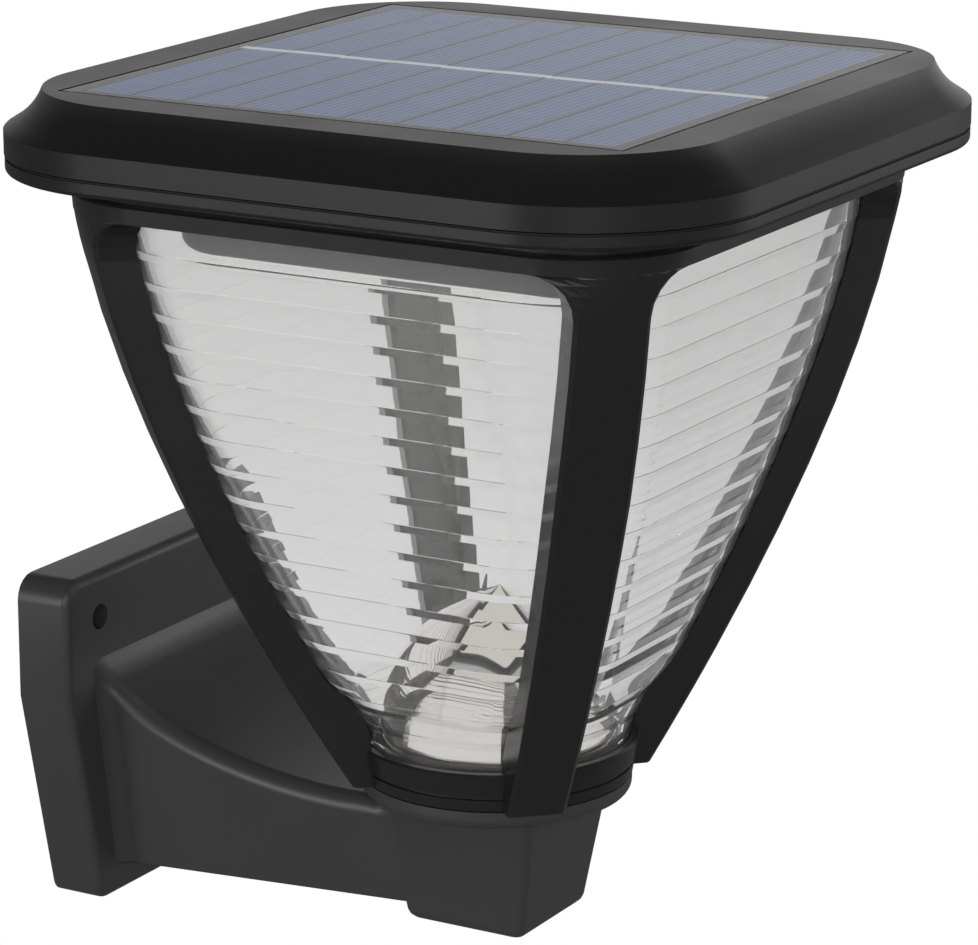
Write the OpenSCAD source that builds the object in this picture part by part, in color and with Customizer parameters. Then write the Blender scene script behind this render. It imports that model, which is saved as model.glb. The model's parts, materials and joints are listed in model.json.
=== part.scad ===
// Solar wall light: a square lantern with a solar panel in its roof, twist-locked on a moulded wall arm.
// The origin is on the wall face, midway between the two screw holes. +Z is up and -Y is out of the wall.
// Lantern levels are given as depths below the top face of the roof.

/* [Wall plate] */
// Width of the plate across its upper part
plate_w = 63.8; // [58:0.2:70]
// Width of the plate at its foot
plate_foot_w = 45; // [42:0.5:50]
// Thickness of the plate, wall face to front face
plate_t = 11; // [10:0.5:13]
// Height of the plate above the line of the screw holes
plate_above = 8.7; // [8:0.1:12]
// Depth of the plate below the line of the screw holes
plate_below = 56.1; // [54:0.1:60]
// Depth below the screw holes at which the sides start to taper
plate_kink = 14.1; // [10:0.1:20]
// Distance between the two screw holes
hole_gap = 42.6; // [40:0.2:46]
// Diameter of the screw holes
hole_d = 4.8; // [4.2:0.1:5.4]

/* [Arm] */
// Distance from the wall to the lantern's upright axis
reach = 84; // [82:0.5:90]
// Height of the roof's top face above the screw holes
lamp_rise = 106; // [105:0.5:108]
// Half width of the arm's underside at the plate
arm_root = 15.6; // [14:0.2:17]
// Wall thickness of the arm's hollow core
arm_wall = 2.8; // [2.4:0.1:3.2]
// Half width of the end block at its foot
block_foot = 12.2; // [11.6:0.1:13]
// Height of the end block below the socket ring
block_h = 24.4; // [22:0.2:28]

/* [Roof] */
// Outer width of the roof
roof_w = 142.2; // [140:0.2:144]
// Width of the roof's flat top face
rim_w = 128.6; // [127.4:0.2:129.4]
// Distance of the corner arcs' centres from the lantern's axis
corner_centre = 38.8; // [38:0.2:39.4]
// Height of the roof cap
cap_h = 11.6; // [11:0.1:13]
// Thickness of the roof base's plate
base_t = 2.5; // [2.2:0.1:3]
// Width of the square recess for the solar panel
panel_w = 110.4; // [109:0.2:110.6]
// Number of cells in the solar panel
cell_count = 10; // [6:1:12]

/* [Cage] */
// Depth of the cage's foot below the roof's top face
cage_depth = 129.2; // [126:0.2:132]
// Distance from the axis to a leg's outer face, under the roof
leg_top_r = 74.75; // [74:0.05:75.2]
// Distance from the axis to a leg's outer face, at the foot
leg_foot_r = 28.15; // [27.6:0.05:29.5]
// How late the legs curve in: 1 is a straight leg
leg_curve = 1.48; // [1.3:0.02:1.6]
// Width of a leg under the window's corner fillets
leg_w = 13.2; // [12:0.2:14]
// Width of a leg at its foot
leg_foot_w = 10.8; // [10:0.2:12]
// Depth of a leg, front face to lens
leg_t = 6.3; // [5.8:0.1:6.8]
// Radius of the windows' upper corners
window_fillet = 8; // [6:0.5:9]

/* [Lens] */
// Wall thickness of the lens
lens_wall = 2.2; // [2:0.1:2.6]
// Height of one rib of the lens
rib_pitch = 5.56; // [5:0.02:6.2]
// How far a rib's lip stands out, just above its lower edge
rib_rise = 0.3; // [0.2:0.05:0.6]
// Outer radius of the lens where it stands in the collar
lens_foot_r = 24.6; // [24.4:0.1:24.9]

/* [Twist lock] */
// Radius of the neck that turns in the bracket
neck_r = 9.6; // [9.2:0.1:10]
// Radius over the two locking lugs
lug_r = 12.3; // [12:0.1:12.6]
// Angle between the locked place and the lift-out notches
unlock_angle = 20; // [18:1:21]

/* [Hidden] */
$fn = 64;
root2 = sqrt(2);
// Gap between pieces that stand beside each other
gap = 0.3;
// Overlap that makes two shapes of one moulding run into each other
weld = 0.2;

// Roof
roof_half = roof_w / 2;
rim_half = rim_w / 2;
outer_r = roof_half - corner_centre;
rim_r = rim_half - corner_centre;
shell = 2.4;
panel_deep = 2.4;
base_top = cap_h + gap;
base_bot = base_top + base_t;
seal_w = 1.6;
pan_floor = 1.8;
roof_screw_in = 8.5;
roof_screw_turn = 20;
roof_screw_x = corner_centre + (outer_r - roof_screw_in) * cos(roof_screw_turn);
roof_screw_y = corner_centre + (outer_r - roof_screw_in) * sin(roof_screw_turn);
boss_r = 3.4;
screw_r = 1.5;
pilot_r = 1.25;
head_r = 2.6;
head_space = head_r + gap;
roof_screw_l = 7.3;
cage_screw_l = 14;
tray_screw_l = 11.5;

// Collar, floor and socket levels
collar_h = 7.2;
collar_top = cage_depth - collar_h;
collar_rim_r = lens_foot_r + 1.8;
collar_foot_r = lens_foot_r + 0.5;
floor_t = 3;
floor_top = cage_depth - floor_t;
socket_top = cage_depth + gap;
socket_ring_h = 3.4;
socket_ring_bot = socket_top + socket_ring_h;
block_bot = socket_ring_bot + block_h;
lip_bot = socket_top + 4;
lug_t = 3;
plug_bot = lip_bot + gap + lug_t + 2.4;
lug_half_angle = 8;
notch_half_angle = 10.5;
socket_r = lug_r + 0.5;

// Cage ring under the roof
neck_h = 3.4;
neck_out_r = leg_top_r - corner_centre * root2 - 1.35;
neck_w = 6.8;
ring_top = base_bot + neck_h;
ring_h = 3.2;
ring_w = 8.9;
ring_edge = ring_top + ring_h;
window_top = ring_edge + 1.4;
leg_arc = 6.4;
flange_t = 1.4;
seal_t = 1;
flange_bot = ring_top + seal_t + flange_t;
// The lens steps in to a spigot inside the collar
shoulder = 1.2;
spigot_r = lens_foot_r - 1;

// Distance from the axis to the front face of a leg, at depth d
function leg_run(d) = min(1, max(0, (d - ring_top) / (cage_depth - ring_top)));
function leg_r(d) = leg_top_r - (leg_top_r - leg_foot_r) * pow(leg_run(d), leg_curve);
// Width of a leg without the window's fillets
function leg_width(d) = leg_w - (leg_w - leg_foot_w) * max(0, (leg_run(d) - 0.4) / 0.6);
// Radius of the ring's corner, chosen so that it passes through the legs' outer edges
function ring_r(d) = sqrt(pow(leg_r(d) - corner_centre * root2, 2) + leg_arc * leg_arc);
// Radius of the curve across a leg's front: the ring's own at the top, nearly flat lower down
function front_r(d) = ring_r(ring_edge) + 260 * pow(min(1, max(0, (d - ring_edge) / 40)), 2);
function sag(r, t) = r - sqrt(r * r - t * t);

// Lens outline at depth d: it morphs from a rounded square to the circle that stands in the collar
foot_blend = 14;
blend_top = collar_top - foot_blend;
function foot_share(d) = min(1, max(0, (d - blend_top) / foot_blend));
lens_clear = rib_rise + gap;
function lens_diag(d) = (leg_r(d) - leg_t - lens_clear) * (1 - foot_share(d)) + lens_foot_r * foot_share(d);
function lens_flat(d) = ((leg_r(d) - leg_t + leg_width(d) / 2) / root2 + 0.9) * (1 - foot_share(d))
    + lens_foot_r * foot_share(d);
function lens_corner(d) = min(lens_flat(d) - 0.4, (lens_flat(d) * root2 - lens_diag(d)) / (root2 - 1));
flange_half = lens_flat(ring_top) + 2.2;
// The flange's corners stay clear of the cage's screws
flange_corner = (leg_top_r - 5.5 - flange_half) / (root2 - 1);

// Tray and battery, whose sizes the roof base's opening follows
tray_bot = 29.5;
tray_gap = 5.6;
tray_half = lens_flat(tray_bot) - lens_wall - tray_gap;
tray_corner = 10;
tray_wall = 2;
tray_floor = 24.6;
tray_lower_r = 3;
led_roof = 26.6;
// Corner hole for the leads of the diode board
lead_at = tray_half - 15;
cell_r = 7.1;
cell_l = 50;
battery_y = 14;
cradle_base = 1.2;
cradle_end = 1.8;
cradle_w = 18;
cradle_h = 7;
cradle_end_w = 12;
cradle_end_h = 13;
contact_t = 0.9;
bump_t = 0.3;
battery_z = tray_floor - cradle_base - cell_r;
cradle_in = cell_l / 2 + bump_t + contact_t;

// Distance from the axis to a rounded square along its diagonal, t to the side of the diagonal
function square_r(t, half, r) = abs(t) <= r * sin(45)
    ? (half - r) * root2 + sqrt(r * r - t * t)
    : half * root2 - abs(t);

// Points of a rounded square with half width half and corner radius r, at height z
function square_ring(half, r, z, n = 8) = [for (k = [0:3], i = [0:n])
    let (a = 90 * k + 90 * i / n, s = [[1, 1], [-1, 1], [-1, -1], [1, -1]][k] * (half - r))
    [s[0] + r * cos(a), s[1] + r * sin(a), z]];
function arc(cx, cy, r, a0, a1, n) = [for (i = [0:n])
    let (a = a0 + (a1 - a0) * i / n) [cx + r * cos(a), cy + r * sin(a)]];

// Solid through a list of rings with the same number of points: capped at both ends, or closed on itself.
// The points run counterclockwise for a viewer who has the first ring nearest.
module loft(rings, closed = false) {
    m = len(rings[0]);
    n = len(rings);
    polyhedron(
        points = [for (ring = rings, p = ring) p],
        faces = concat(
            closed ? [] : [[for (j = [m - 1:-1:0]) j], [for (j = [0:m - 1]) (n - 1) * m + j]],
            [for (i = [0:n - (closed ? 1 : 2)], j = [0:m - 1])
                let (u = (i + 1) % n * m, v = (j + 1) % m) [i * m + j, i * m + v, u + v, u + j]]),
        convexity = 10);
}

// Rounded square plate between two depths
module plate(half, r, d0, d1) {
    translate([0, 0, -d1]) linear_extrude(d1 - d0) {
        square([2 * half, 2 * (half - r)], center = true);
        square([2 * (half - r), 2 * half], center = true);
        for (x = [-1, 1], y = [-1, 1]) translate([x, y] * (half - r)) circle(r);
    }
}

// Section carried round the rounded square: x is measured out from the corner arcs' centres
module around(pts, c = corner_centre) {
    for (k = [0:3]) rotate(90 * k) translate([c, c, 0]) {
        rotate_extrude(angle = 90) polygon(pts);
        rotate([90, 0, 0]) linear_extrude(2 * c) polygon(pts);
    }
}

// Two wires from the panel pass through the board and the roof
wire_r = 1;
wire_gap = 8;
wire_at = -38;
module at_wires() {
    for (s = [-1, 1]) translate([0, wire_at + s * wire_gap / 2, -cap_h]) children();
}

module at_corners(xy) {
    for (x = [-1, 1], y = [-1, 1]) translate([x * xy, y * xy, 0]) children();
}

module at_roof_screws() {
    for (x = [-1, 1], y = [-1, 1]) translate([x * roof_screw_x, y * roof_screw_y, 0]) children();
}

// Screw with its head's upper face at the origin, pointing down
cap_head_h = 1.8;
module screw(length, head_h = cap_head_h) {
    difference() {
        translate([0, 0, -head_h]) cylinder(r = head_r, h = head_h);
        translate([0, 0, -0.9]) cylinder(r = 1.3, h = 2, $fn = 6);
    }
    translate([0, 0, -length]) cylinder(r = pilot_r, h = length - head_h + 0.01);
}

module on_lamp() {
    translate([0, -reach, lamp_rise]) children();
}

// Roof cap: a shallow shell with a flat rim, a hollow flank and a rounded lower lip
flank_r = 12;
lip_r = 2.2;
flank_lean = 32;
module cap_shape() {
    flank = arc(rim_r + flank_r * sin(68), flank_r * cos(68), flank_r, 202, 238, 6);
    lip_z = -(cap_h - 3.4);
    lip = arc(outer_r - lip_r, lip_z, lip_r, 90 - flank_lean, 0, 4);
    around(concat([[0, 0]], flank, lip,
        [[outer_r, -cap_h], [outer_r - shell, -cap_h], [outer_r - shell, lip_z - 0.6],
         [min(rim_r + 2, outer_r - shell), -shell - 2.2], [min(rim_r, outer_r) - 1.6, -shell],
         [0, -shell]]));
}

module roof_cap() color("#1d1d1d") on_lamp() {
    pan = panel_w / 2 + 1.6;
    difference() {
        union() {
            cap_shape();
            translate([-pan, -pan, -panel_deep - pan_floor]) cube([2 * pan, 2 * pan, panel_deep + pan_floor]);
            at_roof_screws() translate([0, 0, -cap_h])
                cylinder(r1 = boss_r, r2 = boss_r - 1, h = cap_h - shell + 0.1);
            // ribs under the pan
            for (k = [0:3]) rotate(90 * k) translate([-pan + 1, 25, -panel_deep - pan_floor - 2])
                cube([2 * pan - 2, 1.6, 2.2]);
        }
        translate([-panel_w / 2, -panel_w / 2, -panel_deep]) cube([panel_w, panel_w, 5]);
        at_wires() cylinder(r = wire_r + 0.6, h = cap_h);
        at_roof_screws() translate([0, 0, -cap_h - 1]) cylinder(r = pilot_r, h = roof_screw_l - 0.7);
    }
}

// Solar panel: board, foam pad, cell strips, ribbon and clear cover, bedded in the recess
pad_t = 0.4;
board_t = 1.2;
cell_t = 0.2;
panel_in = 0.25;
cell_field = panel_w - 4.2;
module panel_pad() color("#2a2a2a") on_lamp()
    difference() {
        translate([-panel_w / 2 + 3, -panel_w / 2 + 3, -panel_deep])
            cube([panel_w - 6, panel_w - 6, pad_t]);
        translate([-panel_w / 2 + 15, -panel_w / 2 + 15, -panel_deep - 1])
            cube([panel_w - 30, panel_w - 30, 3]);
    }

module panel_board() color("#20242c") on_lamp() {
    half = panel_w / 2 - panel_in;
    difference() {
        translate([-half, -half, -panel_deep + pad_t]) cube([2 * half, 2 * half, board_t]);
        at_wires() cylinder(r = wire_r, h = cap_h);
    }
}

ribbon_w = 2.2;
cell_pitch = cell_field / cell_count;
cells_z = -panel_deep + pad_t + board_t;
module solar_cells() color("#2d3e66") on_lamp()
    for (i = [0:cell_count - 1]) translate([-cell_field / 2, -cell_field / 2 + i * cell_pitch, cells_z])
        cube([cell_field, cell_pitch - 0.6, cell_t]);

module cell_ribbon() color("#c9ccd0") on_lamp()
    for (i = [0:cell_count - 1])
        translate([-ribbon_w / 2 - 0.35 * (i % 2), -cell_field / 2 + i * cell_pitch + 0.3,
            cells_z + cell_t])
            cube([ribbon_w, cell_pitch - 0.9, 0.12]);

module panel_cover() color([0.75, 0.8, 0.9, 0.35]) on_lamp() {
    half = panel_w / 2 - panel_in;
    difference() {
        translate([-half, -half, cells_z]) cube([2 * half, 2 * half, -cells_z - 0.25]);
        translate([-cell_field / 2 - 0.1, -cell_field / 2 - 0.1, cells_z - 1])
            cube([cell_field + 0.2, cell_field + 0.2, 1 + cell_t + 0.14]);
    }
}

// Roof base: plate with a rounded lower edge, a neck on the cage and an upstand inside the cap
base_hole_x = cradle_in + cradle_end + 3;
base_hole_y = battery_y + cradle_w / 2 + 4;
sink = 1.5;
tray_screw_at = tray_half - 7.8;
cage_screw_at = (leg_top_r - 3.5) / root2;
cage_head_sink = 0.4;
// The button stands under the rim's edge, inside the upstand
button_at = min(rim_half + 0.4, roof_half - 6.4);
button_r = 3;
running_fit = 0.1;
module roof_base() color("#1f1f1f") on_lamp()
    difference() {
        union() {
            around(concat([[0, -base_bot]],
                arc(outer_r - 0.9, -base_bot + 0.8, 0.8, -90, 0, 4),
                [[outer_r - 0.1, -base_top], [0, -base_top]]));
            plate(corner_centre + 1, 1, base_top, base_bot);
            around([[neck_out_r - neck_w, -ring_top], [neck_out_r, -ring_top],
                [neck_out_r, -base_bot + weld], [neck_out_r - neck_w, -base_bot + weld]]);
            around([[outer_r - shell - 2.2, -base_top - weld], [outer_r - shell - gap, -base_top - weld],
                [outer_r - shell - gap, -base_top + 2.4], [outer_r - shell - 2.2, -base_top + 2.4]]);
        }
        // groove for the seal under the cap's edge
        around([[outer_r - 0.5 - seal_w, -base_top - 1], [outer_r - 0.5, -base_top - 1],
            [outer_r - 0.5, -base_top + 1], [outer_r - 0.5 - seal_w, -base_top + 1]]);
        translate([-base_hole_x, -base_hole_y, -base_bot - 1])
            cube([2 * base_hole_x, 2 * base_hole_y, base_t + 2]);
        at_roof_screws() translate([0, 0, -base_bot - 1]) {
            cylinder(r = screw_r + 0.1, h = base_t + 6);
            cylinder(r = head_space, h = 1 + sink);
        }
        at_roof_screws() translate([0, 0, -base_top]) cylinder(r = boss_r + gap, h = 6);
        at_corners(cage_screw_at) translate([0, 0, -ring_top - 1]) {
            cylinder(r = screw_r + 0.1, h = neck_h + base_t + 3);
            translate([0, 0, neck_h + 1 + cage_head_sink]) cylinder(r = head_space, h = 5);
        }
        at_corners(tray_screw_at) translate([0, 0, -base_bot - 1]) cylinder(r = screw_r + 0.1, h = base_t + 3);
        translate([button_at, 0, -ring_top - 1]) cylinder(r = button_r + running_fit, h = neck_h + base_t + 2);
        // the upstand stops on both sides of the switch
        translate([button_at, 0, -base_top]) cylinder(r = 8, h = 6);
    }

module roof_seal() color("#111111") on_lamp()
    around([[outer_r - 0.5 - seal_w, -base_top - 1], [outer_r - 0.5, -base_top - 1],
        [outer_r - 0.5, -cap_h], [outer_r - 0.5 - seal_w, -cap_h]]);

module roof_screws() color("#9a9da1") on_lamp()
    at_roof_screws() translate([0, 0, -base_bot]) rotate([180, 0, 0]) screw(roof_screw_l, head_h = sink);

module cage_screws() color("#9a9da1") on_lamp()
    at_corners(cage_screw_at) translate([0, 0, -ring_top + neck_h + cage_head_sink + cap_head_h])
        screw(cage_screw_l);

// Cage: ring, four legs with hollow backs, and the collar with its floor
function leg_flare(d) = d <= ring_edge ? window_fillet
    : d >= ring_edge + window_fillet ? 0
    : window_fillet - sqrt(pow(window_fillet, 2) - pow(window_fillet - (d - ring_edge), 2));
function leg_half(d) = leg_width(d) / 2 + leg_flare(d);
edge_r = 0.7;
// The legs' outer face stands a hair inside the ring's edge
leg_step = 0.12;
function leg_front(t, d) = leg_r(d) - leg_step + sag(front_r(d), leg_arc) - sag(front_r(d), t);
leg_foot = collar_top + 0.6;
function leg_back(t, d) = d > leg_foot ? lens_foot_r - 2
    : square_r(t, lens_flat(d) + lens_clear, lens_corner(d) + lens_clear);
function leg_section(d) =
    let (h = leg_half(d), f = h - edge_r)
    concat(
        [[leg_front(h, d) - edge_r, -h, -d]],
        [for (k = [-1:0.25:1]) [leg_front(k * f, d), k * f, -d]],
        [[leg_front(h, d) - edge_r, h, -d]],
        [for (i = [3:-1:-3]) [leg_back(i / 3 * h, d), i / 3 * h, -d]]);
// The legs' backs follow the lens down to a level just inside the collar
leg_levels = concat(
    [ring_top + 0.2],
    [for (a = [0:18:90]) ring_edge + window_fillet * (1 - cos(a))],
    [for (i = [1:7]) ring_edge + window_fillet + (blend_top - ring_edge - window_fillet) * i / 7],
    [for (i = [1:4]) blend_top + (leg_foot - blend_top) * i / 4],
    [leg_foot + 1.5, cage_depth]);
// Hollow in the back of a leg
channel_top = ring_edge + 12;
channel_bot = collar_top - 6;
leg_skin = 2.4;
function channel_section(d) =
    let (c = leg_width(d) / 2 - leg_skin)
    [for (p = [[-c, -6], [-c, leg_t - leg_skin], [c, leg_t - leg_skin], [c, -6]])
        [leg_r(d) - leg_t + p[1], p[0], -d]];

// Three screws hold the twist plug on the cage's floor
plug_screw_at = 16;
plug_screw_r = 1.05;
plug_flange_t = 1.8;
module at_plug_screws() {
    for (a = [30, 150, 270]) rotate(a) translate([plug_screw_at, 0, -floor_top]) children();
}

module cage() color("#1b1b1b") on_lamp()
    difference() {
        union() {
            around([[ring_r(ring_top) - ring_w, -ring_top],
                [ring_r(ring_top) - 0.4, -ring_top], [ring_r(ring_top), -ring_top - 0.4],
                [ring_r(ring_edge), -ring_edge], [ring_r(ring_top) - ring_w, -window_top - 0.2]]);
            for (k = [0:3]) rotate(45 + 90 * k) loft([for (d = leg_levels) leg_section(d)]);
            rotate_extrude() polygon([[socket_r + 0.2, -cage_depth], [collar_foot_r, -cage_depth],
                [collar_foot_r + 0.35, -cage_depth + 2.1], [collar_foot_r - 0.1, -cage_depth + 2.2],
                [collar_foot_r - 0.1, -cage_depth + 2.6], [collar_foot_r + 0.5, -cage_depth + 2.7],
                [collar_rim_r, -collar_top - 0.4], [collar_rim_r - 0.4, -collar_top],
                [spigot_r - 1, -collar_top], [spigot_r - 1, -floor_top], [socket_r + 0.2, -floor_top]]);
        }
        for (k = [0:3]) rotate(45 + 90 * k) loft([for (i = [0:6])
            channel_section(channel_top + (channel_bot - channel_top) * i / 6)]);
        // opening for the lens, with a ledge for its flange
        plate(flange_half + gap, flange_half + gap - flange_corner, ring_top - 1, flange_bot);
        plate(lens_flat(ring_top) + gap, lens_corner(ring_top) + gap, ring_top, window_top + 0.5);
        translate([0, 0, -floor_top]) cylinder(r = spigot_r + 0.2, h = collar_h);
        translate([0, 0, -collar_top - shoulder]) cylinder(r = lens_foot_r + 0.2, h = shoulder + 1);
        at_corners(cage_screw_at)
            translate([0, 0, -base_bot + cage_head_sink + cap_head_h - cage_screw_l - 0.6])
            cylinder(r = pilot_r, h = cage_screw_l);
        at_plug_screws() translate([0, 0, -3.1]) cylinder(r = plug_screw_r, h = 5);
    }

// Lens: one clear moulding, ribbed outside and smooth inside, with a flange above and a spigot below
rib_first = window_top + 1;
lip_share = 0.72;
rib_count = floor((collar_top - 3 - rib_first) / rib_pitch);
spigot_wall = 1.8;
function rib_ring(d, out) = square_ring(lens_flat(d) + out, lens_corner(d) + out, -d);
function flange_ring(d) = square_ring(flange_half, flange_half - flange_corner, -d);
module lens() color([0.85, 0.88, 0.9, 0.4]) on_lamp() {
    top = ring_top + seal_t;
    ribs = [for (i = [0:rib_count - 1], s = [[lip_share, rib_rise], [1, 0]])
        rib_ring(rib_first + (i + s[0]) * rib_pitch, s[1])];
    inside = [for (i = [9:-1:0]) rib_ring(top + (collar_top - top) * i / 9, -lens_wall)];
    loft(concat(
        [flange_ring(top), flange_ring(flange_bot - 0.02), rib_ring(flange_bot, 0), rib_ring(rib_first, 0)],
        ribs,
        [for (d = [collar_top, collar_top + shoulder - 0.02]) rib_ring(d, 0)],
        [for (d = [collar_top + shoulder, floor_top]) rib_ring(d, spigot_r - lens_foot_r)],
        [for (d = [floor_top, collar_top + shoulder]) rib_ring(d, spigot_r - lens_foot_r - spigot_wall)],
        inside), closed = true);
}

module lens_seal() color("#151515") on_lamp()
    difference() {
        plate(flange_half, flange_half - flange_corner, ring_top, ring_top + seal_t);
        plate(lens_flat(ring_top) - 1.6, lens_corner(ring_top), ring_top - 1, ring_top + seal_t + 1);
    }

// Chrome cone on the lamp's floor, with a domed tip
cone_h = 33.8;
cone_skin = 1.2;
cone_tip = cage_depth - cone_h;
cone_skirt_r = spigot_r - spigot_wall - 0.8;
cone_lean = 42;
dome_r = 5.5;
module reflector_cone() color("#d8dadd") on_lamp() {
    knee_r = cone_skirt_r - 0.7;
    dome_x = dome_r * cos(cone_lean);
    dome_z = -cone_tip - dome_r * (1 - sin(cone_lean));
    knee_z = dome_z - (knee_r - dome_x) / tan(cone_lean);
    rotate_extrude() polygon(concat(
        arc(0, -cone_tip - dome_r, dome_r, 90, cone_lean, 6),
        [[knee_r, knee_z], [cone_skirt_r, -floor_top], [cone_skirt_r - cone_skin, -floor_top],
         [knee_r - cone_skin, knee_z - cone_skin / 3], [dome_x - cone_skin, dome_z - cone_skin],
         [0, -cone_tip - cone_skin * 4 / 3]]));
}

// Twist plug: flange on the cage's floor, neck and two locking lugs
module twist_plug() color("#262626") on_lamp() {
    difference() {
        union() {
            translate([0, 0, -floor_top]) cylinder(r = plug_screw_at + 2.6, h = plug_flange_t);
            translate([0, 0, -cage_depth + 0.05]) cylinder(r = socket_r, h = floor_t);
            translate([0, 0, -plug_bot]) cylinder(r = neck_r, h = plug_bot - floor_top + 0.5);
            for (a = [0, 180]) rotate(a) intersection() {
                translate([0, 0, -lip_bot - gap - lug_t]) cylinder(r = lug_r, h = lug_t);
                rotate(-lug_half_angle) wedge(2 * lug_half_angle, lip_bot, lip_bot + gap + lug_t);
            }
        }
        translate([0, 0, -plug_bot - 1]) cylinder(r = neck_r - 2.2, h = plug_bot - floor_top);
        at_plug_screws() translate([0, 0, -4]) cylinder(r = plug_screw_r + gap, h = 8);
    }
}

// Sector of angle a from the +X axis, between two depths
module wedge(a, d0, d1) {
    translate([0, 0, -d1]) linear_extrude(d1 - d0)
        polygon([[0, 0], [20, 0], [20 * cos(a), 20 * sin(a)]]);
}

module plug_screws() color("#9a9da1") on_lamp()
    at_plug_screws() {
        difference() {
            translate([0, 0, plug_flange_t]) cylinder(r = 2.2, h = 1.2);
            translate([0, 0, plug_flange_t + 0.5]) cylinder(r = 0.9, h = 2, $fn = 6);
        }
        translate([0, 0, -2.2]) cylinder(r = plug_screw_r, h = plug_flange_t + 2.21);
    }

// Lamp tray under the roof base: box with rounded lower edges, a floor and a recess for the board
module lamp_tray() color("#232323") on_lamp()
    difference() {
        union() {
            around(concat([[0, -tray_bot]],
                arc(tray_corner - tray_lower_r, -tray_bot + tray_lower_r, tray_lower_r, -90, 0, 5),
                [[tray_corner, -base_bot], [0, -base_bot]]), tray_half - tray_corner);
            plate(tray_half - tray_corner + 1, 1, base_bot, tray_bot);
        }
        difference() {
            plate(tray_half - tray_wall, tray_corner - tray_wall, base_bot - 1, tray_floor);
            at_corners(tray_screw_at) translate([0, 0, -tray_floor - 1]) cylinder(r = 3.1, h = 14);
            // posts for the control board, each with a pin through it
            for (x = [-1, 1], y = [-1, 1]) translate([x * post_x, board_y + y * post_y, -tray_floor - 1]) {
                cylinder(r = 2.2, h = 1 + post_h);
                cylinder(r = 1.1, h = 1 + post_h + 2);
            }
        }
        plate(led_board_half + gap + 0.5, tray_corner - 3, led_roof, tray_bot + 1);
        at_corners(tray_screw_at) translate([0, 0, -base_top + cap_head_h - tray_screw_l - 1])
            cylinder(r = pilot_r, h = tray_screw_l);
        translate([lead_at, -lead_at, -tray_bot]) cylinder(r = 2, h = 10);
    }

module tray_screws() color("#9a9da1") on_lamp()
    at_corners(tray_screw_at) translate([0, 0, -base_top + cap_head_h]) screw(tray_screw_l);

led_board_half = tray_half - 4.4;
led_board_t = 1.2;
chip_ring_r = 26;
chip_t = 0.7;
module led_board() color("#eef0ee") on_lamp()
    difference() {
        plate(led_board_half, 5, led_roof, led_roof + led_board_t);
        translate([lead_at, -lead_at, -tray_bot]) cylinder(r = 1.6, h = 10);
    }

module led_chips() color("#f2e2a0") on_lamp()
    for (a = [0:30:330]) rotate(a) translate([chip_ring_r - 1.4, -1.75, -led_roof - led_board_t - chip_t])
        cube([2.8, 3.5, chip_t]);

module led_cover() color("#f4f4f2") on_lamp()
    difference() {
        union() {
            plate(tray_half - 2.6, tray_corner - 2.6, tray_bot, tray_bot + 0.7);
            plate(tray_half - 3.8, tray_corner - 3.4, led_roof + 1.5, tray_bot + 0.1);
        }
        plate(tray_half - 5.2, tray_corner - 4, led_roof, tray_bot);
    }

// Battery across the tray, in a cradle with a contact at each end
module on_battery() {
    translate([0, battery_y, -battery_z]) rotate([0, 90, 0]) children();
}

module battery_cell() color("#2f6f4f") on_lamp() on_battery() {
    translate([0, 0, -cell_l / 2]) cylinder(r = cell_r, h = cell_l - 2);
    translate([0, 0, cell_l / 2 - 2.1]) cylinder(r = 3, h = 2.1);
}

module battery_cradle() color("#303030") on_lamp() {
    half = cradle_in + cradle_end;
    difference() {
        union() {
            translate([-half, battery_y - cradle_w / 2, -tray_floor]) cube([2 * half, cradle_w, cradle_h]);
            for (x = [-half, half - cradle_end]) translate([x, battery_y - cradle_end_w / 2, -tray_floor])
                cube([cradle_end, cradle_end_w, cradle_end_h]);
        }
        on_battery() translate([0, 0, -cradle_in]) cylinder(r = cell_r + 0.05, h = 2 * cradle_in);
        translate([-18, battery_y - 4, -tray_floor - 1]) cube([36, 8, 4]);
    }
}

module battery_contacts() color("#c8b070") on_lamp() on_battery()
    for (side = [0, 1]) mirror([0, 0, side]) translate([0, 0, cell_l / 2]) {
        cylinder(r = 2.2, h = bump_t + 0.01);
        translate([0, 0, bump_t]) cylinder(r = 4.4, h = contact_t);
    }

// Control board beside the battery, on four posts of the tray
board_y = -19;
board_size = [52, 28, 1.6];
post_x = 22;
post_y = 10;
post_h = 3;
board_top = tray_floor - post_h - board_size[2];
module control_board() color("#1f6b3a") on_lamp() translate([0, board_y, -board_top - board_size[2]])
    difference() {
        translate([-board_size[0] / 2, -board_size[1] / 2, 0]) cube(board_size);
        for (x = [-1, 1], y = [-1, 1]) translate([x * post_x, y * post_y, -1]) cylinder(r = 1.2, h = 4);
    }

module board_parts() color("#303236") on_lamp() translate([0, board_y, -board_top]) {
    translate([-6, -5, 0]) cube([7, 5, 1.6]);
    translate([8, -4, 0]) cylinder(r = 3, h = 6);
    translate([-18, 2, 0]) cube([7, 5, 3]);
    translate([-17, -9, 0]) cube([3.2, 1.6, 1]);
    translate([15, 4, 0]) cylinder(r = 2.4, h = 4.5);
    translate([-2, 5, 0]) cube([9, 4, 3.4]);
}

// Push button under the eaves: the cap slides up against the switch
button_drop = 1.2;
button_travel = 1.5;
stem_r = 1.2;
stem_top = base_bot - base_t - 4.2;
module button_cap() color("#2b2b2b") on_lamp() translate([button_at, 0, 0]) {
    translate([0, 0, -base_bot - button_drop]) cylinder(r = button_r, h = base_t + button_drop + gap + 0.01);
    translate([0, 0, -base_top + gap]) cylinder(r = button_r + 0.65, h = 1);
    translate([0, 0, -base_top + gap]) cylinder(r = stem_r, h = base_top - gap - stem_top);
}

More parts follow.
